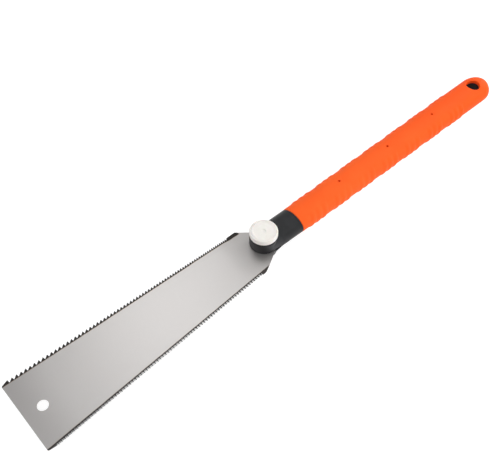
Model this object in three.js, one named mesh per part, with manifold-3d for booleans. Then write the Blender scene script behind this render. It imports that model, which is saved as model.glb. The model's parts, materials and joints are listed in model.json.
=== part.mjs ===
// A double-edged Japanese pull saw (ryoba) with a swivelling, replaceable blade.
// Millimetres, +Z up. The saw lies flat: +X runs from the blade's tip to the handle's end,
// +Y points to the rip edge, and the origin is under the middle of the saw, on the table.
// Every shape is drawn with x measured from the blade's tip edge and z from the blade's middle
// plane; the group at the end of the file moves the whole saw to its own frame.

import * as THREE from 'three';
import { mergeVertices } from 'three/addons/utils/BufferGeometryUtils.js';
import Module from 'manifold-3d';

const wasm = await Module();
wasm.setup();

// ---- Driving dimensions ----

const OVERALL = 661.2;
const BLADE_HEIGHT = 10.5;
const GAP = 0.3;
const ROUND = 48;
const SECTION = 32;
const BEYOND = 60;

// The clamped blade and the handle are not quite in line: the handle is turned by this angle.
const HANDLE_TURN = THREE.MathUtils.degToRad(-0.356);

const blade = {
  thick: 0.6,
  corner: { top: 38.6, bottom: 38.9, radius: 1.3 },
  hole: { x: 18.4, y: -1, radius: 5.25 },
  firstTooth: { x: 7.2, y: 41.1 },
  lastRamp: { x: 8.6, y: -40.2 },
};

// Plain tab and shoulder on the rip side of the heel.
const ripHeel = { tabStart: 259.9, tabEnd: 270.4, tabHalf: 30.5, bendX: 276.5, bendY: 25 };

// Short tab and shoulder on the crosscut side of the heel.
const crossHeel = { tabStart: 256.6, tabHalf: 28.9, cornerX: 262.4, cornerY: 28.2, bendX: 277.5, bendY: 21 };

const pivot = { x: 283.7, tangRadius: 14.2, tangAngle: 0.93, bushRadius: 6, play: 0.1 };

const rip = {
  start: 7.7,
  end: 259.7,
  count: 72,
  firstPitch: 4.65,
  lastPitch: 2.4,
  rootTip: 37.6,
  rootHeel: 28.2,
  firstHeight: 3.3,
  lastHeight: 2.35,
  apexShare: 0.85,
};

const crosscut = {
  start: 9.4,
  end: 256,
  count: 153,
  rootTip: 38.2,
  rootHeel: 26.2,
  firstHeight: 2.7,
  lastHeight: 2.6,
  apexShare: 0.76,
};

const jaw = { inner: 1.2, throat: 23.6, radius: 14.8, fillet: 2.2, chamfer: 1.4, top: 14.8, bottom: -8.8 };
const neck = { half: 15.8, settled: 0.35, boxy: 4.5 };

// The handle widens and thickens from the neck to the grip's rounded end.
const bar = {
  from: 327,
  tail: 9,
  settle: 33,
  half: 16.15,
  widen: 0.0059,
  top: 13.4,
  rise: 0.0065,
  neckBottom: -9.7,
  middles: [480, 580],
};
const end = { lead: [608, 625], from: 641.5, to: 661.2, planPower: 2.15, sidePower: 3 };

const grip = { start: 326.8, skin: 4.2, proud: 0.15 };
const rib = {
  first: 349.8,
  spacing: 37.1,
  growth: 0.32,
  pitch: 9.2,
  perGroup: 3,
  groups: 7,
  height: 0.9,
  dip: 0.5,
  lean: 0.3,
  leanIn: 12,
  leanOut: [600, 620],
  faceFrom: 42,
  faceTo: 64,
};
const hang = { x: 636.1, radius: 8.2 };
const pin = { first: 396.3, pitch: 79.7, count: 3, radius: 1.3, sides: 12 };

const disc = { outer: 14.3, inner: 6.15, near: 0.35, far: 1.15 };
const bolt = {
  radius: 3,
  tip: 0.6,
  head: 7,
  headFrom: -7.7,
  headTo: -5.6,
  square: 6,
  squareTo: -3.8,
  end: 19.6,
};
const counterbore = { radius: 8.5, top: -5.55 };
const bush = { bottom: -3.6, top: 8, bore: 3.2 };
const spring = { outer: 8.8, inner: 4.2, thick: 0.5, wave: 0.25, z: 14.1 };
const springSeat = { radius: 9.2, floor: 13.4 };
const thrust = { outer: 9, inner: 3.3, bottom: 14.95, top: 15.85 };
const knob = { radius: 14.8, bottom: 15.2, top: 21.3, seat: 15.95, rim: 13.1, floor: 19.9, edge: 0.9 };
const insert = { radius: 4.9, bore: 3.1, bottom: 16.05, top: 19.8 };
const cap = { play: 0.2, edge: 0.3 };

// ---- Helpers ----

const lerp = THREE.MathUtils.lerp;
const smoothstep = THREE.MathUtils.smoothstep;

// Joins a geometry's shared corners and hands it to the boolean library.
function solid(geometry) {
  const bare = geometry.clone();
  bare.deleteAttribute('normal');
  bare.deleteAttribute('uv');
  const merged = mergeVertices(bare, 1e-4);
  return new wasm.Manifold(new wasm.Mesh({
    numProp: 3,
    vertProperties: new Float32Array(merged.attributes.position.array),
    triVerts: new Uint32Array(merged.index.array),
  }));
}

function geometryOf(manifold) {
  const mesh = manifold.getMesh();
  const positions = new Float32Array(mesh.vertProperties);
  const triangles = new Uint32Array(mesh.triVerts);
  const geometry = new THREE.BufferGeometry();
  geometry.setAttribute('position', new THREE.BufferAttribute(positions, 3));
  geometry.setIndex(new THREE.BufferAttribute(triangles, 1));
  return geometry;
}

// The first geometry with the others cut away.
function cut(body, tools) {
  return geometryOf(tools.reduce((left, tool) => left.subtract(solid(tool)), body));
}

// The corners of a closed path, without the doubled points where its curves meet.
function corners(path) {
  const points = path.getPoints(12);
  return points.filter((point, i) => point.distanceTo(points[(i + 1) % points.length]) > 0.01);
}

// A flat outline pulled straight up from z = low to z = high.
function prism(shape, low, high) {
  const outline = corners(shape);
  if (THREE.ShapeUtils.isClockWise(outline)) outline.reverse();
  const flat = new THREE.Shape(outline);
  flat.holes = shape.holes.map((hole) => new THREE.Path(corners(hole)));
  const geometry = new THREE.ExtrudeGeometry(flat, { depth: high - low, bevelEnabled: false });
  return geometry.translate(0, 0, low);
}

// An upright cylinder round (x, 0).
function post(radius, low, high, x = pivot.x, sides = ROUND) {
  const geometry = new THREE.CylinderGeometry(radius, radius, high - low, sides);
  return geometry.rotateX(Math.PI / 2).translate(x, 0, (low + high) / 2);
}

function block(x0, x1, half, z0, z1) {
  const geometry = new THREE.BoxGeometry(x1 - x0, 2 * half, z1 - z0);
  return geometry.translate((x0 + x1) / 2, 0, (z0 + z1) / 2);
}

// A turned piece on the pivot's axis, from [radius, z] corners listed upwards along the outside.
function turned(profile, sides = ROUND) {
  const points = profile.map(([r, z]) => new THREE.Vector2(r, z));
  return new THREE.LatheGeometry(points, sides).rotateX(Math.PI / 2).translate(pivot.x, 0, 0);
}

// A flat ring on the pivot's axis.
function ring(outer, inner, low, high, sides = ROUND) {
  return turned([[inner, low], [outer, low], [outer, high], [inner, high], [inner, low]], sides);
}

// A long oval body along x. Each station gives its x, half width, top, bottom and corner power:
// 2 is an ellipse, more is boxier. The top and bottom facets are flat and level.
function barrel(stations, shift = () => [0, 0]) {
  const last = stations.length - 1;
  const geometry = new THREE.CylinderGeometry(1, 1, 1, SECTION, last, false, Math.PI / SECTION);
  const p = geometry.attributes.position;
  const flat = Math.cos(Math.PI / SECTION);
  const bend = (value, power) => Math.sign(value) * Math.abs(value) ** (2 / power);
  for (let i = 0; i < p.count; i += 1) {
    const station = stations[Math.round((0.5 - p.getY(i)) * last)];
    const onSkin = Math.hypot(p.getX(i), p.getZ(i)) > 0.5;
    const angle = onSkin ? Math.atan2(p.getZ(i), p.getX(i)) : Math.PI / 2;
    const middle = (station.top + station.bottom) / 2;
    const rise = (station.top - station.bottom) / 2;
    const y = station.half * bend(p.getX(i) / flat, station.power);
    const z = middle + rise * bend(p.getZ(i) / flat, station.power);
    const [dx, dy] = shift(station, angle, z);
    p.setXYZ(i, station.x + dx, y + dy, z);
  }
  return geometry;
}

// ---- Blade ----

// Toothed edge from gullet to gullet, as [x, distance from the blade's axis].
function teeth(edge, pitches) {
  const length = edge.end - edge.start;
  const stretch = length / pitches.reduce((sum, pitch) => sum + pitch, 0);
  const share = (x) => (x - edge.start) / length;
  const rootAt = (x) => lerp(edge.rootTip, edge.rootHeel, share(x));
  const heightAt = (x) => lerp(edge.firstHeight, edge.lastHeight, share(x));
  const points = [];
  let x = edge.start;
  for (const pitch of pitches) {
    const apex = x + pitch * stretch * edge.apexShare;
    points.push([x, rootAt(x)]);
    points.push([apex, rootAt(apex) + heightAt(apex)]);
    x += pitch * stretch;
  }
  points.push([edge.end, edge.rootHeel]);
  return points;
}

// The rip teeth grow coarser from the heel to the tip.
function ripPitches() {
  const pitchAt = (_, i) => lerp(rip.firstPitch, rip.lastPitch, i / (rip.count - 1));
  return Array.from({ length: rip.count }, pitchAt);
}

function bladeOutline() {
  const { top, bottom, radius: r } = blade.corner;
  const tang = pivot.tangRadius;
  const tangTop = pivot.tangAngle;
  const shape = new THREE.Shape();
  shape.moveTo(0, top - r);
  shape.quadraticCurveTo(0, top, r, top + r / 3);
  shape.lineTo(blade.firstTooth.x, blade.firstTooth.y);
  for (const [x, y] of teeth(rip, ripPitches())) shape.lineTo(x, y);
  shape.lineTo(ripHeel.tabStart, ripHeel.tabHalf);
  shape.lineTo(ripHeel.tabEnd, ripHeel.tabHalf);
  const tangX = pivot.x + tang * Math.cos(tangTop);
  const tangY = tang * Math.sin(tangTop);
  shape.quadraticCurveTo(ripHeel.bendX, ripHeel.bendY, tangX, tangY);
  shape.absarc(pivot.x, 0, tang, tangTop, -tangTop, true);
  shape.quadraticCurveTo(crossHeel.bendX, -crossHeel.bendY, crossHeel.cornerX, -crossHeel.cornerY);
  shape.lineTo(crossHeel.cornerX - 2 * r, -crossHeel.tabHalf);
  shape.lineTo(crossHeel.tabStart, -crossHeel.tabHalf);
  const crossPitches = Array(crosscut.count).fill(1);
  for (const [x, y] of teeth(crosscut, crossPitches).reverse()) shape.lineTo(x, -y);
  shape.lineTo(blade.lastRamp.x, blade.lastRamp.y);
  shape.lineTo(r, -bottom - r / 3);
  shape.quadraticCurveTo(0, -bottom, 0, -bottom + r);
  return shape;
}

function bladeGeometry() {
  const shape = bladeOutline();
  const { hole } = blade;
  const bushHole = pivot.bushRadius + pivot.play;
  for (const [x, y, radius] of [[hole.x, hole.y, hole.radius], [pivot.x, 0, bushHole]]) {
    shape.holes.push(new THREE.Path().absarc(x, y, radius, 0, 2 * Math.PI, true));
  }
  return prism(shape, -blade.thick / 2, blade.thick / 2);
}

// ---- Handle core: the fork that holds the blade, and the bar inside the grip ----

// Share of the full width or height that is left at x in the rounded end.
function endShare(x, to, power) {
  const t = THREE.MathUtils.clamp((x - end.from) / (to - end.from), 0, 1);
  return (1 - t ** power) ** (1 / power);
}

// Stations for the rounded end of a body, closer together towards the end.
function endStations(to, count) {
  const turn = 1.46;
  const reach = (to - end.from) / Math.sin(turn);
  const stationAt = (_, i) => end.from + reach * Math.sin(((i + 1) / count) * turn);
  return Array.from({ length: count }, stationAt);
}

// The grip's oval section at x, drawn in by the inset.
function barSection(x, inset, to) {
  const along = x - bar.from;
  const settled = smoothstep(x, bar.from, bar.from + bar.settle);
  const top = bar.top + bar.rise * along;
  const bottom = lerp(bar.neckBottom, -BLADE_HEIGHT, settled);
  const middle = (top + bottom) / 2;
  const rise = ((top - bottom) / 2 - inset) * endShare(x, to + GAP / 2, end.sidePower);
  const half = (bar.half + bar.widen * along - inset) * endShare(x, to + GAP / 2, end.planPower);
  return { x, half, top: middle + rise, bottom: middle - rise, power: 2 };
}

// Stations of the bar inside the grip, or of the hollow that it fills.
function barStations(inset) {
  const to = end.to - inset;
  const front = [-bar.tail, bar.settle / 3, bar.settle].map((along) => bar.from + along);
  const xs = [...front, ...bar.middles, end.from, ...endStations(to, 5)];
  return xs.map((x) => barSection(x, inset, to));
}

// The neck blends from the boxy fork to the grip's oval.
function neckStations() {
  const neckEnd = grip.start - GAP;
  return [0, 0.1, 0.2, 0.3, 0.5, 0.75, 1].map((t) => {
    const settled = smoothstep(t, 0, neck.settled);
    return {
      x: lerp(pivot.x, neckEnd, t),
      half: lerp(jaw.radius, lerp(neck.half, bar.half, t), settled),
      top: lerp(jaw.top, bar.top, t),
      bottom: lerp(jaw.bottom, bar.neckBottom, t),
      power: lerp(neck.boxy, 2, settled),
    };
  });
}

function headGeometry() {
  const { radius, top, bottom, fillet, chamfer } = jaw;
  const quarter = [0, 0.25, 0.5, 0.75, 1].map((t) => t * Math.PI / 2);
  const roundOver = quarter.map((a) => [
    radius - fillet * (1 - Math.cos(a)),
    top - fillet * (1 - Math.sin(a)),
  ]);
  return turned([
    [0, bottom],
    [radius - chamfer, bottom],
    [radius, bottom + chamfer],
    ...roundOver,
    [0, top],
  ]);
}

function coreGeometry() {
  const squareHalf = bolt.square / 2 + pivot.play;
  const neck = solid(barrel(neckStations()));
  const insideBar = solid(barrel(barStations(grip.skin)));
  return cut(solid(headGeometry()).add(neck).add(insideBar), [
    block(pivot.x - BEYOND, pivot.x + jaw.throat, BEYOND, -jaw.inner, jaw.inner),
    post(pivot.bushRadius + pivot.play, bush.bottom - pivot.play, bush.top + pivot.play),
    post(bush.bore + pivot.play, 0, springSeat.floor + pivot.play),
    post(springSeat.radius, springSeat.floor, jaw.top + 1),
    block(pivot.x - squareHalf, pivot.x + squareHalf, squareHalf, counterbore.top - 0.5, 0),
    post(counterbore.radius, jaw.bottom - 2, counterbore.top),
    post(hang.radius, -BEYOND, BEYOND, hang.x, SECTION),
  ]);
}

// ---- Grip: soft overmould with groups of leaning ribs on both flanks ----

// Valley and peak stations of every rib, with the height the ribs add there.
function ribStations() {
  const list = [];
  for (let g = 0; g < rib.groups; g += 1) {
    const middle = rib.first + rib.spacing * g + rib.growth * g * g;
    const first = middle - rib.pitch * (rib.perGroup - 1) / 2;
    list.push([first - rib.pitch / 2, 0]);
    for (let i = 0; i < rib.perGroup; i += 1) {
      const inner = i < rib.perGroup - 1;
      list.push([first + i * rib.pitch, rib.height]);
      list.push([first + (i + 0.5) * rib.pitch, inner ? rib.height - rib.dip : 0]);
    }
  }
  return list;
}

function gripStations() {
  const back = [...end.lead, end.from, ...endStations(end.to, 8)].map((x) => [x, 0]);
  return [[grip.start, 0], ...ribStations(), ...back].map(([x, height]) => ({
    ...barSection(x, -grip.proud, end.to),
    height,
  }));
}

// Ribs swell the flanks, fade out towards the top and bottom, and lean back with height.
function ribShift(station, angle, z) {
  const steep = THREE.MathUtils.radToDeg(Math.abs(Math.atan(Math.tan(angle))));
  const flank = 1 - smoothstep(steep, rib.faceFrom, rib.faceTo);
  const leanIn = smoothstep(station.x, grip.start, grip.start + rib.leanIn);
  const leaning = leanIn * (1 - smoothstep(station.x, ...rib.leanOut));
  return [rib.lean * z * leaning, Math.sign(Math.cos(angle)) * station.height * flank];
}

function gripGeometry() {
  const tools = [barrel(barStations(grip.skin - GAP)), post(hang.radius, -BEYOND, BEYOND, hang.x, SECTION)];
  for (let i = 0; i < pin.count; i += 1) {
    tools.push(post(pin.radius, 0, BEYOND, pin.first + i * pin.pitch, pin.sides));
  }
  const shape = solid(barrel(gripStations(), ribShift));
  const table = solid(block(0, OVERALL + BEYOND, BEYOND, -BEYOND, -BLADE_HEIGHT));
  return cut(shape.subtract(table), tools);
}

// ---- Clamp: bolt, bush, washers and knob, all on the pivot's axis ----

function boltGeometry() {
  const { radius, tip, head, headFrom, headTo, squareTo } = bolt;
  const half = bolt.square / 2;
  const disk = turned([
    [0, headFrom],
    [head - tip, headFrom],
    [head, headFrom + tip],
    [head, headTo],
    [0, headTo],
  ]);
  const square = block(pivot.x - half, pivot.x + half, half, headTo - tip, squareTo);
  const shank = turned([
    [0, squareTo - tip],
    [radius, squareTo - tip],
    [radius, bolt.end - tip],
    [radius - tip, bolt.end],
    [0, bolt.end],
  ]);
  return geometryOf(solid(disk).add(solid(square)).add(solid(shank)));
}

// Three-wave spring washer under the thrust washer.
function springGeometry() {
  const geometry = ring(spring.outer, spring.inner, -spring.thick / 2, spring.thick / 2);
  const p = geometry.attributes.position;
  for (let i = 0; i < p.count; i += 1) {
    const angle = Math.atan2(p.getY(i), p.getX(i) - pivot.x);
    p.setZ(i, spring.z + p.getZ(i) + spring.wave * Math.cos(3 * angle));
  }
  return geometry;
}

function knobGeometry() {
  const { radius, bottom, top, seat, rim, floor, edge } = knob;
  const bore = insert.radius + pivot.play;
  const pocket = thrust.outer + GAP;
  return turned([
    [bore, seat],
    [pocket, seat],
    [pocket, bottom],
    [radius - edge, bottom],
    [radius, bottom + edge],
    [radius, top - edge],
    [radius - edge, top],
    [rim, top],
    [rim, floor],
    [bore, floor],
    [bore, seat],
  ]);
}

function capGeometry() {
  const radius = knob.rim - cap.play;
  const low = knob.floor + pivot.play;
  const { top } = knob;
  return turned([[0, low], [radius, low], [radius, top - cap.edge], [radius - cap.edge, top], [0, top]]);
}

function coverGeometry() {
  const radius = counterbore.radius - cap.play;
  const top = bolt.headFrom - pivot.play;
  const { bottom } = jaw;
  return turned([
    [0, bottom],
    [radius - cap.edge, bottom],
    [radius, bottom + cap.edge],
    [radius, top],
    [0, top],
  ]);
}

// ---- Materials and the assembled saw ----

function finish(color, roughness, metalness = 0) {
  return new THREE.MeshStandardMaterial({ color, roughness, metalness });
}

const discs = {
  upper: ring(disc.outer, disc.inner, disc.near, disc.far),
  lower: ring(disc.outer, disc.inner, -disc.far, -disc.near),
};

const onHandle = [
  ['handle_core', coreGeometry(), finish(0x262729, 0.42)],
  ['grip_overmould', gripGeometry(), finish(0xff5f22, 0.6)],
  ['clamp_bolt', boltGeometry(), finish(0xb9bcc0, 0.35, 1)],
  ['bolt_cover', coverGeometry(), finish(0x242526, 0.45)],
  ['pivot_bush', ring(pivot.bushRadius, bush.bore, bush.bottom, bush.top), finish(0xa9acb0, 0.35, 1)],
  ['friction_disc_upper', discs.upper, finish(0x1b1b1c, 0.7)],
  ['friction_disc_lower', discs.lower, finish(0x1b1b1c, 0.7)],
  ['wave_spring', springGeometry(), finish(0x9a9da0, 0.3, 1)],
  ['thrust_washer', ring(thrust.outer, thrust.inner, thrust.bottom, thrust.top), finish(0xb9bcc0, 0.35, 1)],
  ['knob_insert', ring(insert.radius, insert.bore, insert.bottom, insert.top), finish(0xc29a4a, 0.35, 1)],
  ['knob_body', knobGeometry(), finish(0xf1efe9, 0.35)],
  ['knob_cap', capGeometry(), finish(0xf1efe9, 0.35)],
];

for (const [, geometry] of onHandle) {
  geometry.translate(-pivot.x, 0, 0).rotateZ(HANDLE_TURN).translate(pivot.x, 0, 0);
}

const saw = new THREE.Group();
saw.position.set(-OVERALL / 2, 0, BLADE_HEIGHT);
for (const [name, geometry, material] of [
  ['saw_blade', bladeGeometry(), finish(0xc4c0bd, 0.38, 1)],
  ...onHandle,
]) {
  const mesh = new THREE.Mesh(geometry, material);
  mesh.name = name;
  saw.add(mesh);
}

export default saw;
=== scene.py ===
"""A double-edged pull saw with a swivelling blade: the looks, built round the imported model.

Shapes are drawn in millimetres with z from the blade's middle plane. The blade's x counts from
its tip edge. The handle's x counts from the pivot, and the clamp's pieces are turned round it.
"""

import json
import math

import bmesh
import bpy
from mathutils import Matrix, Vector


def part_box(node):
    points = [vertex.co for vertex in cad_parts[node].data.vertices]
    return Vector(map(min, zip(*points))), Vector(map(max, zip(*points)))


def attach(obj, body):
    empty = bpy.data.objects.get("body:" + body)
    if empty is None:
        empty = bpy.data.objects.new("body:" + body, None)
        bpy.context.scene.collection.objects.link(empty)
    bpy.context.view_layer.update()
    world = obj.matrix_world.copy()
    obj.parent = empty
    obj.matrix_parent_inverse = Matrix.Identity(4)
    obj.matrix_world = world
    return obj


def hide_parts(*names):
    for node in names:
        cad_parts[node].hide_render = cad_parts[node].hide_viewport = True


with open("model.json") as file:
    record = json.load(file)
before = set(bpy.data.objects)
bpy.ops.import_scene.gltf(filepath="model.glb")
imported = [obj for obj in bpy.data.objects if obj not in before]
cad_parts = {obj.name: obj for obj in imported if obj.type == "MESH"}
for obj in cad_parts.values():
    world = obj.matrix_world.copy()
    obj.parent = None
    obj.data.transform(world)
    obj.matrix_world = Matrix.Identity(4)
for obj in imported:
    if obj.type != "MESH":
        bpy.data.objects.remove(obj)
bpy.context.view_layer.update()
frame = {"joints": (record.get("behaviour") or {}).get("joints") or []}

# ---- Places, from the frame ----

MM = 0.001
JOINTS = {joint["name"]: joint for joint in frame["joints"]}
PIVOT = Vector(JOINTS["blade_swivel"]["pos_m"])
TIP_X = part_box("saw_blade")[0].x
PIVOT_S = (PIVOT.x - TIP_X) / MM
TABLE_Z = -PIVOT.z / MM
HANDLE_TURN = math.radians(-0.356)

BLADE_PLACE = Matrix.Translation((TIP_X, 0, PIVOT.z)) @ Matrix.Scale(MM, 4)
HANDLE_PLACE = Matrix.Translation(PIVOT) @ Matrix.Rotation(HANDLE_TURN, 4, "Z") @ Matrix.Scale(MM, 4)


def half_width(node):
    """Half of a round node's width, in millimetres."""
    low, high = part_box(node)
    return (high.x - low.x) / 2 / MM


def levels(node):
    """A node's lowest and highest z from the blade's middle plane, in millimetres."""
    low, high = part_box(node)
    return (low.z - PIVOT.z) / MM, (high.z - PIVOT.z) / MM


# ---- Numbers and easing ----


def lerp(a, b, t):
    return a + (b - a) * t


def smoothstep(x, low, high):
    t = min(max((x - low) / (high - low), 0), 1)
    return t * t * (3 - 2 * t)


def spread(first, last, count):
    """Evenly spaced numbers from first to last, both included."""
    return [lerp(first, last, i / (count - 1)) for i in range(count)]


# ---- Mesh helpers ----


def add_mesh(name, verts, faces):
    mesh = bpy.data.meshes.new(name)
    mesh.from_pydata(verts, [], faces)
    piece = bpy.data.objects.new(name, mesh)
    bpy.context.scene.collection.objects.link(piece)
    face_outwards(piece)
    return piece


def face_outwards(piece):
    bm = bmesh.new()
    bm.from_mesh(piece.data)
    bmesh.ops.recalc_face_normals(bm, faces=bm.faces)
    bm.to_mesh(piece.data)
    bm.free()


def settle(piece):
    """Turns the piece's modifiers into its own mesh."""
    graph = bpy.context.evaluated_depsgraph_get()
    mesh = bpy.data.meshes.new_from_object(piece.evaluated_get(graph))
    piece.modifiers.clear()
    piece.data = mesh


def combine(piece, tool, operation):
    """Joins the tool to the piece, or cuts it away, and removes the tool."""
    modifier = piece.modifiers.new("combine", "BOOLEAN")
    modifier.operation = operation
    modifier.solver = "EXACT"
    modifier.object = tool
    settle(piece)
    bpy.data.objects.remove(tool)


def smooth(piece, sharp_angle=40):
    piece.data.shade_smooth()
    piece.data.set_sharp_from_angle(angle=math.radians(sharp_angle))


def loft(name, rings):
    """A closed body through rings that hold the same number of points."""
    sides = len(rings[0])
    verts = [point for ring in rings for point in ring]
    faces = [tuple(range(sides)), tuple(range(len(verts) - sides, len(verts)))]
    for r in range(len(rings) - 1):
        for i in range(sides):
            a = r * sides + i
            b = r * sides + (i + 1) % sides
            faces.append((a, b, b + sides, a + sides))
    return add_mesh(name, verts, faces)


def rounded(corners, closed, steps=5):
    """The points of an outline of (r, z, radius) corners, with each corner turned into an arc."""
    points = []
    count = len(corners)
    for i, (r, z, radius) in enumerate(corners):
        corner = Vector((r, z))
        if radius == 0 or (not closed and i in (0, count - 1)):
            points.append(corner)
            continue
        to_before = (Vector(corners[i - 1][:2]) - corner).normalized()
        to_after = (Vector(corners[(i + 1) % count][:2]) - corner).normalized()
        half = to_before.angle(to_after) / 2
        centre = corner + (to_before + to_after).normalized() * radius / math.sin(half)
        reach = radius / math.tan(half)
        start = corner + to_before * reach - centre
        end = corner + to_after * reach - centre
        for t in spread(0, 1, steps + 1):
            points.append(centre + start.lerp(end, t).normalized() * radius)
    return points


def turned(name, corners, closed=False, sides=144):
    """A piece turned round the z axis, from (r, z, corner radius) corners."""
    points = rounded(corners, closed)
    verts = []
    rings = []
    for r, z in points:
        around = 1 if r < 1e-6 else sides
        rings.append([len(verts) + i % around for i in range(sides)])
        for i in range(around):
            angle = 2 * math.pi * i / sides
            verts.append((r * math.cos(angle), r * math.sin(angle), z))
    faces = []
    pairs = list(zip(rings, rings[1:]))
    if closed:
        pairs.append((rings[-1], rings[0]))
    for low, high in pairs:
        for i in range(sides):
            j = (i + 1) % sides
            corner_list = [low[i], low[j], high[j], high[i]]
            faces.append(tuple(dict.fromkeys(corner_list)))
    return add_mesh(name, verts, faces)


def box_tool(x0, x1, y0, y1, z0, z1):
    verts = [(x, y, z) for x in (x0, x1) for y in (y0, y1) for z in (z0, z1)]
    faces = [(0, 1, 3, 2), (4, 5, 7, 6), (0, 1, 5, 4), (2, 3, 7, 6), (0, 2, 6, 4), (1, 3, 7, 5)]
    return add_mesh("tool", verts, faces)


def post_tool(radius, low, high, x=0, sides=96):
    tool = turned("tool", [(0, low, 0), (radius, low, 0), (radius, high, 0), (0, high, 0)], sides=sides)
    tool.data.transform(Matrix.Translation((x, 0, 0)))
    return tool


# ---- Material helpers ----


class Recipe:
    """A node material whose helpers add a node and give back its output."""

    def __init__(self, name):
        self.material = bpy.data.materials.new(name)
        self.material.use_nodes = True
        self.tree = self.material.node_tree
        self.shader = self.tree.nodes["Principled BSDF"]
        self.place = self.add("ShaderNodeTexCoord").outputs["Object"]

    def add(self, kind, settings=None, **inputs):
        made = self.tree.nodes.new(kind)
        for key, value in (settings or {}).items():
            setattr(made, key, value)
        for key, value in inputs.items():
            self.feed(made.inputs[key.replace("_", " ")], value)
        return made

    def feed(self, socket, value):
        if isinstance(value, bpy.types.NodeSocket):
            self.tree.links.new(value, socket)
        else:
            socket.default_value = value

    def math(self, operation, *values):
        made = self.tree.nodes.new("ShaderNodeMath")
        made.operation = operation
        for socket, value in zip(made.inputs, values):
            self.feed(socket, value)
        return made.outputs[0]

    def along(self, axis):
        return self.add("ShaderNodeSeparateXYZ", Vector=self.place).outputs[axis]

    def stretched(self, scale):
        """The place, stretched by a factor for each axis, for a texture to read."""
        return self.add("ShaderNodeMapping", Vector=self.place, Scale=scale).outputs["Vector"]

    def noise(self, scale, detail=3.0, roughness=0.5, vector=None):
        vector = self.place if vector is None else vector
        made = self.add("ShaderNodeTexNoise", Vector=vector, Scale=scale, Detail=detail, Roughness=roughness)
        return made.outputs["Fac"]

    def ease(self, value, low, high, to_low=0.0, to_high=1.0):
        """Goes softly from to_low to to_high while the value goes from low to high."""
        made = self.add("ShaderNodeMapRange", {"interpolation_type": "SMOOTHSTEP"}, Value=value)
        for key, number in zip(("From Min", "From Max", "To Min", "To Max"), (low, high, to_low, to_high)):
            made.inputs[key].default_value = number
        return made.outputs["Result"]

    def ramp(self, value, stops):
        """A colour between two stops, each a (position, colour)."""
        made = self.add("ShaderNodeValToRGB", Fac=value)
        for element, (position, colour) in zip(made.color_ramp.elements, stops):
            element.position = position
            element.color = (*colour, 1)
        return made.outputs["Color"]

    def mix(self, share, first, second):
        made = self.tree.nodes.new("ShaderNodeMix")
        made.data_type = "RGBA"
        sockets = [s for s in made.inputs if s.enabled]
        for socket, value in zip(sockets, (share, first, second)):
            self.feed(socket, (*value, 1) if isinstance(value, tuple) else value)
        return next(s for s in made.outputs if s.enabled)

    def bump(self, height, distance, strength=1.0):
        made = self.add("ShaderNodeBump", Height=height, Distance=distance, Strength=strength)
        self.feed(self.shader.inputs["Normal"], made.outputs["Normal"])

    def finish(self, **inputs):
        for key, value in inputs.items():
            value = (*value, 1) if isinstance(value, tuple) and len(value) == 3 else value
            self.feed(self.shader.inputs[key.replace("_", " ")], value)
        return self.material


# ---- Blade ----

BLADE_HALF = (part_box("saw_blade")[1].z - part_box("saw_blade")[0].z) / 2 / MM
TIP_CORNER = {"top": 38.6, "bottom": 38.9, "radius": 1.3}
FIRST_RIP_POINT = (7.2, 41.1)
LAST_CROSSCUT_POINT = (8.6, 40.2)
# A toothed edge runs from start to end. coarse and fine are the relative pitches at those ends,
# and root is the gullets' distance from the blade's axis. top holds a tooth's points as shares of
# its pitch and height. The set leans the points sideways, and filed is how far a bevel cuts in.
RIP = {
    "start": 7.7,
    "end": 259.7,
    "count": 72,
    "coarse": 4.65,
    "fine": 2.4,
    "root_tip": 37.6,
    "root_heel": 28.2,
    "height_tip": 3.3,
    "height_heel": 2.35,
    "top": [(0.83, 1), (0.87, 1)],
    "set": 0.12,
    "filed": 0,
}
CROSSCUT = {
    "start": 9.4,
    "end": 256,
    "count": 153,
    "coarse": 1,
    "fine": 1,
    "root_tip": 38.2,
    "root_heel": 26.2,
    "height_tip": 2.69,
    "height_heel": 2.6,
    "top": [(0.2, 0.7), (0.76, 1)],
    "set": 0.14,
    "filed": 0.7,
}
# The bevels reach past the gullets, and the strip of face that goes with each tooth further still.
FILED_DEPTH = 0.95
STRIP = {"least": 1.4, "bow": 6}
RIP_TAB = {"start": 259.9, "end": 270.4, "half": 30.5}
RIP_BEND = (276.5, 25)
CROSS_TAB = {"start": 256.6, "end": 259.8, "half": 28.9}
CROSS_CORNER = (262.4, 28.2)
CROSS_BEND = (277.5, 21)
TANG = {"radius": 14.2, "angle": 0.93, "points": 40}
TIP_HOLE = {"x": 18.4, "y": -1, "radius": 5.25}
BUSH_HOLE = 6.1


def root_at(edge, s):
    """How far the gullets lie from the blade's axis at s."""
    return lerp(edge["root_tip"], edge["root_heel"], (s - edge["start"]) / (edge["end"] - edge["start"]))


def strip_at(edge, s):
    """How far from the axis the strip below the teeth ends, on a bow so that no points are in line."""
    share = (s - edge["start"]) / (edge["end"] - edge["start"])
    return root_at(edge, s) - STRIP["least"] - STRIP["bow"] * (1 - math.sin(math.pi * share))


def gullets(edge):
    """The gullets' places along the edge, closer together where the teeth are finer."""
    pitches = spread(edge["coarse"], edge["fine"], edge["count"])
    stretch = (edge["end"] - edge["start"]) / sum(pitches)
    places = [edge["start"]]
    for pitch in pitches:
        places.append(places[-1] + pitch * stretch)
    return places


def curve(start, bend, end, steps=10):
    """Points after start along a quadratic curve."""
    start, bend, end = Vector(start), Vector(bend), Vector(end)
    ts = spread(0, 1, steps + 1)[1:]
    return [tuple(start.lerp(bend, t).lerp(bend.lerp(end, t), t)) for t in ts]


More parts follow.
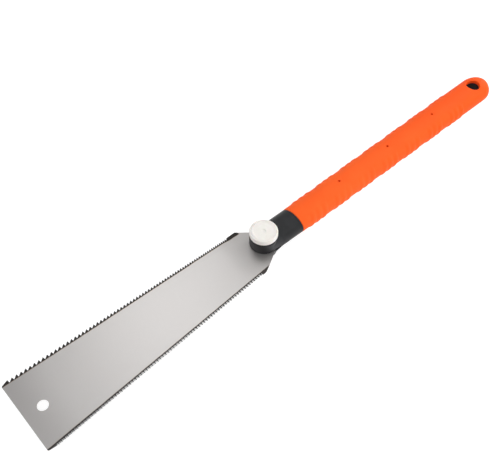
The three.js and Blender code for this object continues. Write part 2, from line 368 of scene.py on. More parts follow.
class BladeMesh:
    """Builds the blade's two faces, its plain edges and every tooth."""

    def __init__(self):
        self.bm = bmesh.new()
        self.loops = {1: [], -1: []}

    def vertex(self, x, y, z):
        return self.bm.verts.new((x, y, z))

    def plain(self, points):
        """Goes along an outline that has no teeth, with an upright edge."""
        for x, y in points:
            for level, loop in self.loops.items():
                loop.append(self.vertex(x, y, level * BLADE_HALF))
            if len(self.loops[1]) > 1:
                self.wall([self.loops[1][-2], self.loops[1][-1], self.loops[-1][-1], self.loops[-1][-2]])

    def wall(self, verts, filed=False):
        face = self.bm.faces.new(list(dict.fromkeys(verts)))
        face.material_index = 1 if filed else 0

    def toothed(self, edge, side):
        """Goes along a toothed edge. side is 1 for the +y edge and -1 for the other."""
        places = gullets(edge)
        order = list(range(edge["count"]))
        begin = places[0]
        if side < 0:
            order.reverse()
            begin = places[-1]
        self.plain([(begin, side * root_at(edge, begin))])
        gullet = {level: loop[-1] for level, loop in self.loops.items()}
        for level, loop in self.loops.items():
            loop.append(self.vertex(begin, side * strip_at(edge, begin), level * BLADE_HALF))
        for i in order:
            gullet = self.tooth(edge, side, places[i], places[i + 1], 1 if i % 2 else -1, gullet)
        for level, loop in self.loops.items():
            loop.append(gullet[level])

    def tooth(self, edge, side, first, last, facing, before):
        """One tooth with the strip below it, set towards facing and filed on its other face.

        It starts from the gullet before it and gives back the one after it.
        """
        share = (first - edge["start"]) / (edge["end"] - edge["start"])
        height = lerp(edge["height_tip"], edge["height_heel"], share)
        profile = edge["top"] if side > 0 else edge["top"][::-1]
        near, far = (first, last) if side > 0 else (last, first)
        gullets_at = {}
        base = {}
        tips = {}
        for level in (1, -1):
            filed = edge["filed"] if level == -facing else 0
            face_z = level * BLADE_HALF
            start = before[level]
            end = self.vertex(far, side * root_at(edge, far), face_z)
            strip_start = self.loops[level][-1]
            strip_end = self.vertex(far, side * strip_at(edge, far), face_z)
            self.loops[level].append(strip_end)
            gullets_at[level] = [start, end]
            base[level] = gullets_at[level]
            rim = gullets_at[level]
            if filed:
                inner = [near + side * filed, far - side * filed]
                base[level] = [self.vertex(x, side * (root_at(edge, x) - FILED_DEPTH), face_z) for x in inner]
                rim = [start, *base[level], end]
            self.wall([*rim, strip_end, strip_start])
            tips[level] = []
            for along, up in profile:
                x = lerp(first, last, along)
                y = root_at(edge, x) + (height - filed) * up
                tips[level].append(self.vertex(x, side * y, face_z + facing * edge["set"] * up))
            self.wall([*base[level], *tips[level][::-1]], bool(filed))
        bevelled = bool(edge["filed"])
        outer, inner = facing, -facing
        for end in (0, 1):
            self.wall([base[outer][end], tips[outer][end], tips[inner][end], base[inner][end]], bevelled)
            if bevelled:
                self.wall([gullets_at[outer][end], base[inner][end], gullets_at[inner][end]], True)
        self.wall([*tips[1], *tips[-1][::-1]], bevelled)
        return {level: ends[1] for level, ends in gullets_at.items()}

    def close(self):
        """Joins the outline's last points to its first ones."""
        top, bottom = self.loops[1], self.loops[-1]
        self.wall([top[-1], top[0], bottom[0], bottom[-1]])

    def hole(self, x, y, radius, sides=72):
        rings = {}
        angles = [2 * math.pi * i / sides for i in range(sides)]
        for level in (1, -1):
            rings[level] = [
                self.vertex(x + radius * math.cos(a), y + radius * math.sin(a), level * BLADE_HALF)
                for a in angles
            ]
        for i in range(sides):
            j = (i + 1) % sides
            self.wall([rings[1][i], rings[1][j], rings[-1][j], rings[-1][i]])
        return rings

    def fill(self, hole_rings):
        """Fills the upper and the lower face between the outline and the holes."""
        for level in (1, -1):
            edges = []
            for ring in [self.loops[level], *(rings[level] for rings in hole_rings)]:
                for a, b in zip(ring, ring[1:] + ring[:1]):
                    edges.append(self.bm.edges.get((a, b)) or self.bm.edges.new((a, b)))
            bmesh.ops.triangle_fill(self.bm, use_beauty=True, edges=edges, normal=(0, 0, level))


def make_blade():
    """The whole sheet: tip, rip edge, tang, crosscut edge, back to the tip, and its two holes."""
    build = BladeMesh()
    r = TIP_CORNER["radius"]
    slant = r / 3
    top, bottom = TIP_CORNER["top"], TIP_CORNER["bottom"]
    tang = [
        (PIVOT_S + TANG["radius"] * math.cos(a), TANG["radius"] * math.sin(a))
        for a in spread(TANG["angle"], -TANG["angle"], TANG["points"])
    ]
    build.plain([(0, top - r), *curve((0, top - r), (0, top), (r, top + slant), 5), FIRST_RIP_POINT])
    build.toothed(RIP, 1)
    tab_end = (RIP_TAB["end"], RIP_TAB["half"])
    build.plain([(RIP_TAB["start"], RIP_TAB["half"]), tab_end, *curve(tab_end, RIP_BEND, tang[0])])
    cross_corner = (CROSS_CORNER[0], -CROSS_CORNER[1])
    cross_bend = (CROSS_BEND[0], -CROSS_BEND[1])
    build.plain([*tang[1:], *curve(tang[-1], cross_bend, cross_corner)])
    build.plain([(CROSS_TAB[end], -CROSS_TAB["half"]) for end in ("end", "start")])
    build.toothed(CROSSCUT, -1)
    build.plain([(LAST_CROSSCUT_POINT[0], -LAST_CROSSCUT_POINT[1]), (r, -bottom - slant)])
    build.plain(curve((r, -bottom - slant), (0, -bottom), (0, -bottom + r), 5))
    build.close()
    tip_hole = build.hole(TIP_HOLE["x"], TIP_HOLE["y"], TIP_HOLE["radius"])
    bush_hole = build.hole(PIVOT_S, 0, BUSH_HOLE)
    build.fill([tip_hole, bush_hole])
    mesh = bpy.data.meshes.new("blade_sheet")
    bmesh.ops.recalc_face_normals(build.bm, faces=build.bm.faces)
    build.bm.to_mesh(mesh)
    build.bm.free()
    piece = bpy.data.objects.new("blade_sheet", mesh)
    bpy.context.scene.collection.objects.link(piece)
    piece.data.transform(BLADE_PLACE)
    return piece


def beyond_gullets(recipe, edge, side):
    """Distance past the line of the gullets, in millimetres, positive in the teeth."""
    slope = (edge["root_heel"] - edge["root_tip"]) / (edge["end"] - edge["start"])
    at_tip = edge["root_tip"] - slope * edge["start"]
    s = recipe.math("DIVIDE", recipe.math("SUBTRACT", recipe.along("X"), TIP_X), MM)
    y = recipe.math("DIVIDE", recipe.along("Y"), side * MM)
    line = recipe.math("MULTIPLY_ADD", s, slope, at_tip)
    return recipe.math("SUBTRACT", y, line)


# Where the blade's colours change: from, to, and the value at each, which is 0 and 1 if not given.
# The first five go along the blade from its tip edge, and the other five go across it from the line
# of the gullets, in millimetres.
SHADE = {
    # The first entry darkens the steel towards its tip: painted shade that stands in for a dimmer reflection
    # there.
    "painted_tip_shade": (0, 45, 0.55, 0),
    "wide_heel_band": (251, 260, 0, 1.0),
    "narrow_tip_band": (20, 90, 0.35, 0),
    "burnt_heel": (255.4, 256.8),
    "black_tip_teeth": (10, 130, 0.15, 1.0),
    "rip_black": (-1.0, -0.62),
    "rip_brown": (-1.5, -0.95),
    "cross_burnt": (-1.1, -0.65),
    "cross_straw": (-1.6, -1.1),
    "cross_dull": (-0.2, 1.0),
}
# The rip band stops at the tang's shoulder, on a line that slants across the blade.
SHOULDER_LINE = {"slant": 0.6, "fade": (288.4, 290.2, 0, 4)}
# The steel is rougher where the jaws rub it.
BLADE_ROUGHNESS = (235, 275, 0.33, 0.5)


def ground_steel():
    """Satin steel, ground across, blued at the hardened teeth with a straw line beside them, and darkened
    towards its tip by painted shade.
    """
    recipe = Recipe("ground_blade_steel")
    plain = (0.64, 0.625, 0.615)
    warm = (0.66, 0.61, 0.59)
    scratched = (0.50, 0.49, 0.485)
    # The darker grey of the painted shade at the tip, which stands in for a dimmer reflection.
    painted_tip_shade_grey = (0.42, 0.405, 0.40)
    black = (0.052, 0.048, 0.045)
    brown = (0.42, 0.28, 0.18)
    straw = (0.55, 0.48, 0.40)
    burnt = (0.09, 0.08, 0.075)
    dull = (0.62, 0.605, 0.595)
    cloud = recipe.noise(28, 4, 0.55)
    streak = recipe.noise(1, 5, 0.7, recipe.stretched((2600, 130, 1)))
    body = recipe.mix(recipe.math("MULTIPLY", cloud, 0.35), plain, warm)
    body = recipe.mix(recipe.math("MULTIPLY", streak, 0.22), body, scratched)
    s = recipe.math("DIVIDE", recipe.math("SUBTRACT", recipe.along("X"), TIP_X), MM)
    # Painted shade: the steel turns a darker grey towards its tip, standing in for a dimmer reflection.
    body = recipe.mix(recipe.ease(s, *SHADE["painted_tip_shade"]), body, painted_tip_shade_grey)
    wandering = 0.5
    wander = recipe.math("MULTIPLY_ADD", recipe.noise(160, 2), wandering, -wandering / 2)
    rip = recipe.math("ADD", beyond_gullets(recipe, RIP, 1), wander)
    rip = recipe.math("ADD", rip, recipe.ease(s, *SHADE["wide_heel_band"]))
    rip = recipe.math("SUBTRACT", rip, recipe.ease(s, *SHADE["narrow_tip_band"]))
    y_mm = recipe.math("DIVIDE", recipe.along("Y"), MM)
    shoulder = recipe.math("MULTIPLY_ADD", y_mm, SHOULDER_LINE["slant"], s)
    rip = recipe.math("SUBTRACT", rip, recipe.ease(shoulder, *SHOULDER_LINE["fade"]))
    rip_share = recipe.ease(rip, *SHADE["rip_black"])
    rip_tint = recipe.math("SUBTRACT", recipe.ease(rip, *SHADE["rip_brown"]), rip_share)
    cross = recipe.math("ADD", beyond_gullets(recipe, CROSSCUT, -1), wander)
    cross_share = recipe.ease(cross, *SHADE["cross_burnt"])
    cross_tint = recipe.math("SUBTRACT", recipe.ease(cross, *SHADE["cross_straw"]), cross_share)
    past_tip = recipe.ease(s, *SHADE["black_tip_teeth"])
    teeth = recipe.mix(recipe.ease(cross, *SHADE["cross_dull"]), burnt, dull)
    teeth = recipe.mix(past_tip, black, teeth)
    teeth = recipe.mix(recipe.ease(s, *SHADE["burnt_heel"]), teeth, burnt)
    colour = recipe.mix(recipe.math("MULTIPLY", rip_tint, 0.75), body, brown)
    colour = recipe.mix(recipe.math("MULTIPLY", cross_tint, 0.6), colour, straw)
    colour = recipe.mix(cross_share, colour, teeth)
    colour = recipe.mix(rip_share, colour, black)
    roughness = recipe.math("MULTIPLY_ADD", streak, 0.16, recipe.ease(s, *BLADE_ROUGHNESS))
    recipe.bump(streak, 0.000012, 0.6)
    return recipe.finish(Base_Color=colour, Metallic=1.0, Roughness=roughness)


def filed_steel():
    """The filed bevels of the crosscut teeth, blue-black with finer file lines."""
    recipe = Recipe("filed_tooth_steel")
    lines = recipe.noise(1, 3, 0.6, recipe.stretched((300, 9000, 3000)))
    colour = recipe.ramp(lines, [(0.3, (0.012, 0.012, 0.013)), (0.75, (0.045, 0.045, 0.049))])
    recipe.bump(lines, 0.00001, 0.5)
    return recipe.finish(Base_Color=colour, Metallic=1.0, Roughness=0.34)


# ---- Handle sections, the same law as the CAD model's ----

BAR = {"from": 327, "settle": 33, "half": 16.15, "widen": 0.0059, "top": 13.4, "rise": 0.0065, "neck": -9.7}
END = {"from": 641.5, "to": 661.2, "plan": 2.15, "side": 3}
GRIP_START = 326.8
GRIP_SKIN = 4.2
GRIP_PROUD = 0.15
GAP = 0.3
RIB = {
    "first": 349.8,
    "spacing": 37.1,
    "growth": 0.32,
    "pitch": 9.2,
    "per_group": 3,
    "groups": 7,
    "height": 0.9,
    "dip": 0.75,
    "lean": 0.3,
    "lean_in": 12,
    "lean_out": (600, 620),
    "face": (42, 64),
}
HANG = {"s": 636.1, "radius": 8.2, "lip": 1.0}
PINS = {"first": 396.3, "pitch": 79.7, "count": 3, "radius": 1.5}
JAW = {
    "inner": 1.2,
    "throat": 23.6,
    "radius": 14.8,
    "fillet": 2.2,
    "chamfer": 1.4,
    "top": 14.8,
    "bottom": -8.8,
}
NECK = {"half": 15.8, "settled": 0.35, "boxy": 4.5}
BOLT = {"radius": 3, "pitch": 1, "groove": 0.45, "head": 2.1, "square_height": 1.8, "plain": 6, "point": 0.6}


def end_share(s, to, power):
    """Share of the full width or height that is left at s in the rounded end."""
    t = min(max((s - END["from"]) / (to - END["from"]), 0), 1)
    return (1 - t**power) ** (1 / power)


def bar_section(s, inset=0.0):
    """Half width, middle height and half height of the oval at s, drawn in by the inset."""
    along = s - BAR["from"]
    to = END["to"] - inset
    settled = smoothstep(s, BAR["from"], BAR["from"] + BAR["settle"])
    top = BAR["top"] + BAR["rise"] * along
    bottom = lerp(BAR["neck"], TABLE_Z, settled)
    rise = ((top - bottom) / 2 - inset) * end_share(s, to, END["side"])
    half = (BAR["half"] + BAR["widen"] * along - inset) * end_share(s, to, END["plan"])
    return half, (top + bottom) / 2, rise


def end_stations(to, count):
    """Places in the rounded end, closer together towards its tip, which they don't quite reach."""
    short = 0.012
    turns = spread(0, math.pi / 2 - short, count + 1)[1:]
    reach = to - END["from"]
    return [END["from"] + reach * math.sin(turn) for turn in turns]


def oval(s, half, middle, rise, sides, power=2.0):
    """One ring of a handle section, flat where it meets the table."""
    points = []
    for i in range(sides):
        angle = 2 * math.pi * (i + 0.5) / sides
        c, k = math.cos(angle), math.sin(angle)
        y = half * math.copysign(abs(c) ** (2 / power), c)
        z = middle + rise * math.copysign(abs(k) ** (2 / power), k)
        points.append((s - PIVOT_S, y, max(z, TABLE_Z)))
    return points


# ---- Grip ----


def rib_marks():
    """Valleys and crests of every rib, as (place, height)."""
    marks = []
    for g in range(RIB["groups"]):
        middle = RIB["first"] + RIB["spacing"] * g + RIB["growth"] * g * g
        first = middle - RIB["pitch"] * (RIB["per_group"] - 1) / 2
        marks.append((first - RIB["pitch"] / 2, 0))
        for i in range(RIB["per_group"]):
            inner = i < RIB["per_group"] - 1
            marks.append((first + i * RIB["pitch"], RIB["height"]))
            marks.append((first + (i + 0.5) * RIB["pitch"], RIB["height"] - RIB["dip"] if inner else 0))
    return marks


def rib_height(s, marks):
    """Height of the ribs at s, rounded over between the marks."""
    for (s0, h0), (s1, h1) in zip(marks, marks[1:]):
        if s0 <= s <= s1:
            t = (s - s0) / (s1 - s0)
            return lerp(h0, h1, (1 - math.cos(math.pi * t)) / 2)
    return 0


def ribbed_ring(s, inset, marks, sides):
    """One ring of the grip's outside, with the ribs on both flanks, leaning forward as they rise."""
    half, middle, rise = bar_section(s, inset - GRIP_PROUD)
    leaning = smoothstep(s, GRIP_START, GRIP_START + RIB["lean_in"]) * (1 - smoothstep(s, *RIB["lean_out"]))
    height = rib_height(s, marks)
    ring = []
    for i, (x, y, z) in enumerate(oval(s, half, middle, rise, sides)):
        angle = 2 * math.pi * (i + 0.5) / sides
        steep = math.degrees(math.asin(abs(math.sin(angle))))
        flank = 1 - smoothstep(steep, *RIB["face"])
        y += math.copysign(height * flank, math.cos(angle))
        ring.append((x + RIB["lean"] * z * leaning, y, z))
    return ring


def hang_hole_tool(sides=96):
    """A cutter for the hang hole that leaves a rounded lip on both faces."""
    lip = HANG["lip"]
    turns = spread(0, math.radians(72), 7)
    past_lip = 1.6
    rings = []
    for face in (-1, 1):
        steps = [(turn, 0) for turn in turns] + [(turns[-1], past_lip)]
        for turn, past in steps if face > 0 else reversed(steps):
            ring = []
            for i in range(sides):
                angle = 2 * math.pi * i / sides
                out = HANG["radius"] + lip * (1 - math.cos(turn)) + past * math.sin(turn)
                rim = HANG["radius"] + lip
                s = HANG["s"] + rim * math.cos(angle)
                half, middle, rise = bar_section(s, -GRIP_PROUD)
                level = math.sqrt(max(1 - (rim * math.sin(angle) / half) ** 2, 0))
                surface = middle + face * rise * level
                z = surface - face * (lip * (1 - math.sin(turn)) - past * math.cos(turn))
                x = HANG["s"] - PIVOT_S + out * math.cos(angle)
                ring.append((x, out * math.sin(angle), z))
            rings.append(ring)
    clear = 40
    beyond = [[(x, y, face * clear) for x, y, z in ring] for face, ring in ((-1, rings[0]), (1, rings[-1]))]
    return loft("tool", [beyond[0], *rings, beyond[1]])


def hollow_tool(inset, sides=96):
    """A cutter for the hollow that the core's bar fills, open at the neck."""
    opening = 8
    places = [*spread(GRIP_START - opening, END["from"], 40), *end_stations(END["to"] - inset, 12)]
    return loft("tool", [oval(s, *bar_section(s, inset), sides) for s in places])


def make_grip():
    """The ribbed skin with its hollow, hang hole and pin holes."""
    sides = 112
    marks = rib_marks()
    edge = 0.5
    above_grip = 30
    lip = [(GRIP_START + edge * (1 - math.sin(a)), edge * (1 - math.cos(a))) for a in spread(1.5, 0, 5)]
    places = [(s, 0) for s in spread(GRIP_START + 1, END["from"], 520)]
    places += [(s, 0) for s in end_stations(END["to"], 26)]
    piece = loft("grip_skin", [ribbed_ring(s, inset, marks, sides) for s, inset in [*lip, *places]])
    combine(piece, hollow_tool(GRIP_SKIN - GAP), "DIFFERENCE")
    combine(piece, hang_hole_tool(), "DIFFERENCE")
    for i in range(PINS["count"]):
        x = PINS["first"] + i * PINS["pitch"] - PIVOT_S
        combine(piece, post_tool(PINS["radius"], 0, above_grip, x, 32), "DIFFERENCE")
    smooth(piece, 38)
    piece.data.transform(HANDLE_PLACE)
    return piece


def soft_rubber():
    """Satin orange rubber: a fine moulded grain, a little mottling, and deeper towards its end."""
    recipe = Recipe("orange_grip_rubber")
    cloud = recipe.noise(35, 4, 0.6)
    colour = recipe.ramp(cloud, [(0.3, (0.98, 0.118, 0.018)), (0.7, (1.0, 0.134, 0.022))])
    x_mm = recipe.math("DIVIDE", recipe.along("X"), MM)
    deeper_end = recipe.ease(x_mm, 60, 330, 0, 0.6)
    colour = recipe.mix(deeper_end, colour, (0.94, 0.085, 0.006))
    grain = recipe.noise(5200, 2, 0.5)
    wave = recipe.noise(220, 3, 0.5)
    height = recipe.math("MULTIPLY_ADD", wave, 4.0, grain)
    recipe.bump(height, 0.00003, 0.5)
    roughness = recipe.math("MULTIPLY_ADD", cloud, 0.12, 0.56)
    return recipe.finish(Base_Color=colour, Roughness=roughness, Specular_IOR_Level=0.12)


# ---- Handle core ----


def neck_ring(t, sides):
    """One ring of the neck, boxy at the fork (t = 0) and oval at the grip (t = 1)."""
    settled = smoothstep(t, 0, NECK["settled"])
    half = lerp(JAW["radius"], lerp(NECK["half"], BAR["half"], t), settled)
    top = lerp(JAW["top"], BAR["top"], t)
    bottom = lerp(JAW["bottom"], BAR["neck"], t)
    s = lerp(PIVOT_S, GRIP_START - GAP, t)
    power = lerp(NECK["boxy"], 2, settled)
    return oval(s, half, (top + bottom) / 2, (top - bottom) / 2, sides, power)


def make_fork():
    """The neck and its fork, with the edges that a mould would leave soft."""
    sides = 128
    top, bottom = JAW["top"], JAW["bottom"]
    neck = loft("handle_fork", [neck_ring(t, sides) for t in spread(0, 1, 40)])
    head = turned("head", [
        (0, bottom, 0),
        (JAW["radius"], bottom, JAW["chamfer"]),
        (JAW["radius"], top, JAW["fillet"]),
        (0, top, 0),
    ])
    combine(neck, head, "UNION")
    stub = [oval(s, *bar_section(s, GRIP_SKIN), 96) for s in spread(GRIP_START - 6, GRIP_START + 14, 8)]
    combine(neck, loft("stub", stub), "UNION")
    bush_low, bush_high = levels("pivot_bush")
    play = 0.1
    clear = 40
    overlap = 0.5
    seat_floor = levels("wave_spring")[0] - 2 * play
    counterbore_top = levels("bolt_cover")[1] + BOLT["head"] + 1.5 * play
    square = BOLT["radius"] + play
    combine(neck, box_tool(-clear, JAW["throat"], -clear, clear, -JAW["inner"], JAW["inner"]), "DIFFERENCE")
    combine(neck, post_tool(half_width("pivot_bush") + play, bush_low - play, bush_high + play), "DIFFERENCE")
    combine(neck, post_tool(BOLT["radius"] + 3 * play, 0, seat_floor + play), "DIFFERENCE")
    combine(neck, post_tool(half_width("wave_spring") + 4 * play, seat_floor, top + 1), "DIFFERENCE")
    combine(neck, box_tool(-square, square, -square, square, counterbore_top - overlap, 0), "DIFFERENCE")
    combine(neck, post_tool(half_width("bolt_cover") + 2 * play, bottom - 2, counterbore_top), "DIFFERENCE")
    remesh = neck.modifiers.new("remesh", "REMESH")
    remesh.mode = "VOXEL"
    remesh.voxel_size = 0.3
    relax = neck.modifiers.new("relax", "SMOOTH")
    relax.factor = 0.5
    relax.iterations = 7
    settle(neck)
    neck.data.shade_smooth()
    neck.data.transform(HANDLE_PLACE)
    return neck


def make_bar():
    """The core inside the grip, which shows through the hang hole and the pin holes."""
    inset = GRIP_SKIN
    clear = 60
    places = [*spread(GRIP_START + 6, END["from"], 60), *end_stations(END["to"] - inset, 12)]
    piece = loft("core_bar", [oval(s, *bar_section(s, inset), 96) for s in places])
    combine(piece, post_tool(HANG["radius"], -clear, clear, HANG["s"] - PIVOT_S), "DIFFERENCE")
    smooth(piece, 38)
    piece.data.transform(HANDLE_PLACE)
    return piece


def moulded_nylon(name, colour, light):
    """Satin moulded plastic with a fine spark texture and faint flow marks."""
    recipe = Recipe(name)
    cloud = recipe.noise(60, 3, 0.6)
    shade = recipe.ramp(cloud, [(0.3, colour), (0.75, light)])
    grain = recipe.noise(4200, 3, 0.6)
    recipe.bump(grain, 0.00003, 0.55)
    roughness = recipe.math("MULTIPLY_ADD", cloud, 0.12, 0.36)
    return recipe.finish(Base_Color=shade, Roughness=roughness, Specular_IOR_Level=0.2)


# ---- Clamp pieces, turned round the pivot ----


def clamp_piece(name, corners, closed=False, sides=144):
    piece = turned(name, corners, closed, sides)
    smooth(piece, 50)
    piece.data.transform(HANDLE_PLACE)
    return piece


def make_ring(name, node, inner, edge):
    """A plain ring with the node's width and levels, its bore's radius and its edges' rounding."""
    low, high = levels(node)
    outer = half_width(node)
    return clamp_piece(
        name,
        [(inner, low, edge), (outer, low, edge), (outer, high, edge), (inner, high, edge)],
        closed=True,
    )


KNOB_RIM = 13.05
KNOB_SEAT = 15.95
CAP_FLOOR = 19.9


def make_knob_body():
    """The round knob, with a pocket for the washer below and a recess for the cap above."""
    low, high = levels("knob_body")
    outer = half_width("knob_body")
    bore = half_width("knob_insert") + 0.1
    pocket = half_width("thrust_washer") + GAP
    return clamp_piece("knob_shell", [
        (bore, KNOB_SEAT, 0.1),
        (pocket, KNOB_SEAT, 0.1),
        (pocket, low, 0.25),
        (outer, low, 0.7),
        (outer, high, 0.95),
        (KNOB_RIM, high, 0.2),
        (KNOB_RIM, CAP_FLOOR, 0.1),
        (bore, CAP_FLOOR, 0.1),
    ], closed=True, sides=192)


def make_knob_cap():
    """A dished cap with a plain round dimple in its middle."""
    high = levels("knob_cap")[1]
    low = CAP_FLOOR + 0.1
    outer = KNOB_RIM - 0.2
    rim = high - 0.05
    dish = high - 0.35
    dimple = high - 1.15
    return clamp_piece("knob_lid", [
        (0, low, 0),
        (outer, low, 0.1),
        (outer, rim, 0.3),
        (outer - 1.2, rim, 0.6),
        (outer - 2.4, dish, 1.2),
        (2.4, dish, 0.4),
        (1.5, dimple, 0.4),
        (0, dimple, 0),
    ], sides=192)


def make_cover():
    """The plug over the bolt's head, on the underside, with a shallow recess in its face."""
    low, high = levels("bolt_cover")
    outer = half_width("bolt_cover")
    recess = low + 0.25
    return clamp_piece("bolt_plug", [
        (0, recess, 0),
        (outer - 2.2, recess, 0.3),
        (outer - 1.9, low, 0.25),
        (outer, low, 0.35),
        (outer, high, 0.15),
        (0, high, 0),
    ])


def make_bolt():
    """A flat-headed clamp bolt with a square neck and turned thread ridges."""
    low, high = levels("clamp_bolt")
    head_top = low + BOLT["head"]
    radius, pitch = BOLT["radius"], BOLT["pitch"]
    overlap = 0.5
    ridges = []
    z = head_top + BOLT["plain"]
    while z < high - 1.2 * pitch:
        ridges += [(radius, z, 0), (radius - BOLT["groove"], z + pitch / 2, 0)]
        z += pitch
    head = half_width("clamp_bolt")
    piece = turned("clamp_bolt_fine", [
        (0, low, 0),
        (head, low, 0.5),
        (head, head_top, 0.2),
        (radius, head_top, 0),
        *ridges,
        (radius, z, 0),
        (radius - BOLT["point"], high, 0),
        (0, high, 0),
    ])
    square_top = head_top + BOLT["square_height"]
    square = box_tool(-radius, radius, -radius, radius, head_top - overlap, square_top)
    combine(piece, square, "UNION")
    smooth(piece, 30)
    piece.data.transform(HANDLE_PLACE)
    return piece


def make_spring():
    """A three-wave spring washer."""
    low, high = levels("wave_spring")
    outer = half_width("wave_spring")
    bore = 4.2
    thick = 0.5
    edge = 0.12
    waves = 3
    middle = (low + high) / 2
    swing = (high - low - thick) / 2
    piece = turned("wave_spring_fine", [
        (bore, -thick / 2, edge),
        (outer, -thick / 2, edge),
        (outer, thick / 2, edge),
        (bore, thick / 2, edge),
    ], closed=True)
    for vertex in piece.data.vertices:
        angle = math.atan2(vertex.co.y, vertex.co.x)
        vertex.co.z += middle + swing * math.cos(waves * angle)
    smooth(piece, 50)
    piece.data.transform(HANDLE_PLACE)
    return piece


def cream_plastic():
    """Off-white knob plastic with soft flow mottling."""
    recipe = Recipe("cream_knob_plastic")
    cloud = recipe.noise(240, 4, 0.6)
    colour = recipe.ramp(cloud, [(0.3, (0.87, 0.83, 0.785)), (0.7, (0.92, 0.88, 0.84))])
    wave = recipe.noise(420, 3, 0.5)
    recipe.bump(wave, 0.00012, 0.5)
    roughness = recipe.math("MULTIPLY_ADD", cloud, 0.12, 0.34)
    return recipe.finish(
        Base_Color=colour,
        Roughness=roughness,
        Specular_IOR_Level=0.5,
        Subsurface_Weight=0.08,
        Subsurface_Scale=0.002,
    )


def turned_metal(name, colour, dark, roughness):
    """Plated or turned metal with fine lathe rings and light staining."""
    recipe = Recipe(name)
    stain = recipe.noise(500, 4, 0.6)
    shade = recipe.ramp(stain, [(0.3, dark), (0.65, colour)])
    lines = recipe.noise(1, 2, 0.5, recipe.stretched((400, 400, 9000)))
    recipe.bump(lines, 0.00001, 0.5)
    rough = recipe.math("MULTIPLY_ADD", stain, 0.14, roughness)
    return recipe.finish(Base_Color=shade, Metallic=1.0, Roughness=rough)


def fibre_board():
    """Matt black pressed fibre."""
    recipe = Recipe("black_disc_fibre")
    fleck = recipe.noise(3000, 4, 0.7)
    colour = recipe.ramp(fleck, [(0.35, (0.011, 0.011, 0.012)), (0.75, (0.04, 0.04, 0.042))])
    recipe.bump(fleck, 0.00003, 0.7)
    return recipe.finish(Base_Color=colour, Roughness=0.62)


# ---- Assembly ----


def fit(piece, body, node, slot, *materials):
    """Gives the piece its materials and its body, and hides the CAD node it stands for. The slot is not used.
    """
    for material in materials:
        piece.data.materials.append(material)
    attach(piece, body)
    if node:
        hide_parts(node)


def assemble():
    plate = turned_metal("zinc_plate", (0.60, 0.61, 0.63), (0.42, 0.42, 0.43), 0.26)
    brass = turned_metal("turned_brass", (0.75, 0.56, 0.27), (0.55, 0.38, 0.16), 0.24)
    nylon = moulded_nylon("black_core_nylon", (0.022, 0.0225, 0.0235), (0.033, 0.034, 0.036))
    cream = cream_plastic()
    fibre = fibre_board()
    bush_bore = 3.2
    disc_bore = 6.15
    washer_bore = 3.3
    insert_bore = 3.1
    fit(make_blade(), "blade", "saw_blade", "blade_steel", ground_steel(), filed_steel())
    fit(make_grip(), "handle", "grip_overmould", "grip_rubber", soft_rubber())
    fit(make_fork(), "handle", "handle_core", "core_plastic", nylon)
    fit(make_bar(), "handle", None, "core_plastic", nylon)
    fit(make_cover(), "handle", "bolt_cover", "core_plastic", nylon)
    fit(make_bolt(), "handle", "clamp_bolt", "fastener_steel", plate)
    fit(make_spring(), "handle", "wave_spring", "fastener_steel", plate)
    for side in ("upper", "lower"):
        node = f"friction_disc_{side}"
        fit(make_ring(f"disc_{side}", node, disc_bore, 0.15), "handle", node, "disc_fibre", fibre)
    bush = make_ring("bush_fine", "pivot_bush", bush_bore, 0.25)
    fit(bush, "handle", "pivot_bush", "fastener_steel", plate)
    washer = make_ring("washer_fine", "thrust_washer", washer_bore, 0.12)
    fit(washer, "knob_seat", "thrust_washer", "fastener_steel", plate)
    insert = make_ring("insert_fine", "knob_insert", insert_bore, 0.2)
    fit(insert, "knob", "knob_insert", "insert_brass", brass)
    fit(make_knob_body(), "knob", "knob_body", "knob_plastic", cream)
    fit(make_knob_cap(), "knob", "knob_cap", "knob_plastic", cream)


# ---- Stage: camera, floor and light ----

VIEW_AZIMUTH = math.radians(-42)
VIEW_ELEVATION = math.radians(51.5)
VIEW_DISTANCE = 0.7227
FOCAL_LENGTH = 49.96
SENSOR_WIDTH = 36
AIM_OFFSET = Vector((0.0016, 0.0302, 0))


def direction(azimuth, elevation):
    """The way from the object to something at that azimuth and elevation."""
    flat = math.cos(elevation)
    return Vector((math.sin(azimuth) * flat, -math.cos(azimuth) * flat, math.sin(elevation)))


def make_camera():
    """The camera looks down over the crosscut edge, at a point behind the pivot."""
    lens = bpy.data.cameras.new("camera")
    lens.lens = FOCAL_LENGTH
    lens.sensor_width = SENSOR_WIDTH
    camera = bpy.data.objects.new("camera", lens)
    bpy.context.scene.collection.objects.link(camera)
    back = direction(VIEW_AZIMUTH, VIEW_ELEVATION)
    camera.location = PIVOT + AIM_OFFSET + back * VIEW_DISTANCE
    camera.rotation_mode = "QUATERNION"
    camera.rotation_quaternion = (-back).to_track_quat("-Z", "Y")
    bpy.context.scene.camera = camera


def make_floor():
    """A plain pale floor just below the saw, lit so that it looks white."""
    reach = 30
    level = -0.00002
    corners = [(x, y, level) for x, y in ((-reach, -reach), (reach, -reach), (reach, reach), (-reach, reach))]
    floor = add_mesh("floor", corners, [(0, 1, 2, 3)])
    recipe = Recipe("pale_floor")
    recipe.shader.inputs["Emission Color"].default_value = (1, 1, 1, 1)
    floor.data.materials.append(recipe.finish(
        Base_Color=(0.3, 0.3, 0.3),
        Roughness=0.9,
        Specular_IOR_Level=0.1,
        Emission_Strength=0.86,
    ))


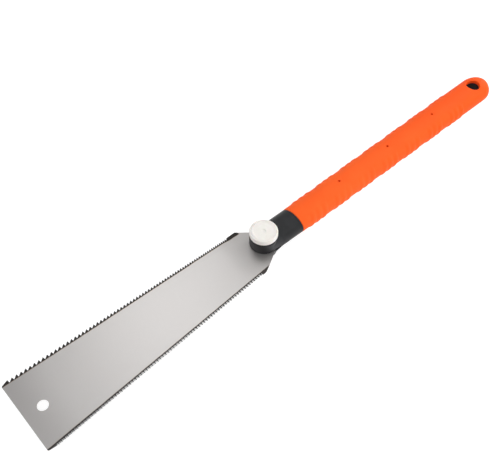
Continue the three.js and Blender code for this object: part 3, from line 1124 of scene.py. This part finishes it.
# The dome's strength falls between these two heights of the view direction (0 level, 1 straight up).
HORIZON = {"From Min": 0.08, "From Max": 0.2, "To Min": 1.0, "To Max": 0.29}


def make_world():
    """A pale studio dome that is brighter along the horizon, like a backdrop."""
    world = bpy.data.worlds.new("studio")
    bpy.context.scene.world = world
    world.use_nodes = True
    nodes, links = world.node_tree.nodes, world.node_tree.links
    background = nodes["Background"]
    background.inputs["Color"].default_value = (1, 1, 1, 1)
    place = nodes.new("ShaderNodeTexCoord")
    split = nodes.new("ShaderNodeSeparateXYZ")
    rise = nodes.new("ShaderNodeMapRange")
    rise.interpolation_type = "SMOOTHSTEP"
    for key, number in HORIZON.items():
        rise.inputs[key].default_value = number
    links.new(place.outputs["Generated"], split.inputs["Vector"])
    links.new(split.outputs["Z"], rise.inputs["Value"])
    links.new(rise.outputs["Result"], background.inputs["Strength"])


def add_softbox(name, azimuth, elevation, distance, size, power, aim=PIVOT, mirrored=True):
    """A square area light that faces the pivot, or another point of the saw.

    The angles are in degrees and the lengths in metres. One that isn't mirrored lights the saw
    but makes no glare on the steel.
    """
    light = bpy.data.lights.new(name, "AREA")
    light.size = size
    light.energy = power
    lamp = bpy.data.objects.new(name, light)
    bpy.context.scene.collection.objects.link(lamp)
    towards = direction(math.radians(azimuth), math.radians(elevation))
    lamp.location = aim + towards * distance
    lamp.visible_glossy = mirrored
    lamp.rotation_mode = "QUATERNION"
    lamp.rotation_quaternion = (-towards).to_track_quat("-Z", "Y")


make_camera()
make_world()
make_floor()
blade_middle = (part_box("saw_blade")[0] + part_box("saw_blade")[1]) / 2
sheen_middle = blade_middle + Vector((0.03, -0.03, 0))
add_softbox("front", azimuth=48, elevation=38, distance=1.5, size=0.6, power=12, mirrored=False)
add_softbox("left", azimuth=-100, elevation=50, distance=1.5, size=0.9, power=6.5)
add_softbox("side", azimuth=95, elevation=22, distance=1.5, size=0.5, power=5)
add_softbox("behind", azimuth=151.4, elevation=58.5, distance=1.2, size=0.5, power=1.66, aim=sheen_middle)
bpy.context.scene.view_settings.view_transform = "Standard"

assemble()
